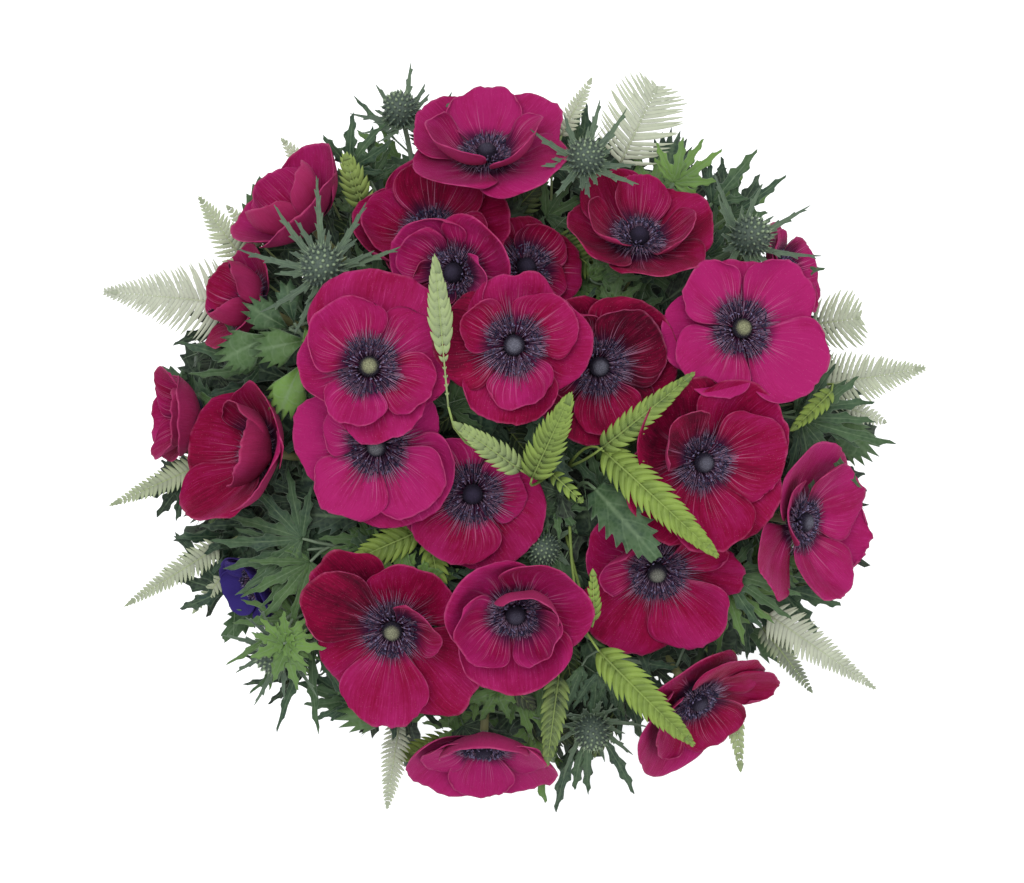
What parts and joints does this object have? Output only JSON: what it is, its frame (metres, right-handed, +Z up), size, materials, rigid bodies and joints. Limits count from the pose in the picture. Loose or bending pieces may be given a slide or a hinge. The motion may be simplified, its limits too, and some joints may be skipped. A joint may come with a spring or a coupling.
{
  "type": "hand-tied anemone bouquet",
  "caption": "Hand-tied bunch of open crimson anemones with fern fronds and sea holly, its leaning stems bound with twine and cut level.",
  "frame": {"origin": "on the surface that the cut stems stand on, under the middle of the bunch's outline", "axes": "+Z up along the bunch's axis, +Y towards the top of the picture, +X towards its right"},
  "size_m": [0.4384, 0.3968, 0.3691],
  "materials": {
    "petal": "satin, finely veined crimson, paler pink at the back",
    "stem": "matt, slightly hairy green",
    "fern": "matt leaf, from yellow-green to pale sage",
    "holly": "matt blue-green, waxy",
    "twine": "coarse twisted jute"
  },
  "bodies": {
    "root": {"anemone_01_bloom": "petal", "anemone_01_stem": "stem", "anemone_02_bloom": "petal", "anemone_02_stem": "stem", "anemone_03_bloom": "petal", "anemone_03_stem": "stem", "anemone_04_bloom": "petal", "anemone_04_stem": "stem", "anemone_05_bloom": "petal", "anemone_05_stem": "stem", "anemone_06_bloom": "petal", "anemone_06_stem": "stem", "anemone_07_bloom": "petal", "anemone_07_stem": "stem", "anemone_08_bloom": "petal", "anemone_08_stem": "stem", "anemone_09_bloom": "petal", "anemone_09_stem": "stem", "anemone_10_bloom": "petal", "anemone_10_stem": "stem", "anemone_11_bloom": "petal", "anemone_11_stem": "stem", "anemone_12_bloom": "petal", "anemone_12_stem": "stem", "anemone_13_bloom": "petal", "anemone_13_stem": "stem", "anemone_14_bloom": "petal", "anemone_14_stem": "stem", "anemone_15_bloom": "petal", "anemone_15_stem": "stem", "anemone_16_bloom": "petal", "anemone_16_stem": "stem", "anemone_17_bloom": "petal", "anemone_17_stem": "stem", "anemone_18_bloom": "petal", "anemone_18_stem": "stem", "anemone_19_bloom": "petal", "anemone_19_stem": "stem", "anemone_20_bloom": "petal", "anemone_20_stem": "stem", "anemone_21_bloom": "petal", "anemone_21_stem": "stem", "anemone_22_bloom": "petal", "anemone_22_stem": "stem", "anemone_23_bloom": "petal", "anemone_23_stem": "stem", "anemone_24_bloom": "petal", "anemone_24_stem": "stem", "fern_frond_1": "fern", "fern_frond_2": "fern", "fern_frond_3": "fern", "fern_frond_4": "fern", "fern_frond_5": "fern", "fern_frond_6": "fern", "sea_holly_1": "holly", "sea_holly_2": "holly", "sea_holly_3": "holly", "sea_holly_4": "holly", "sea_holly_5": "holly", "tie": "twine"}
  },
  "joints": []
}
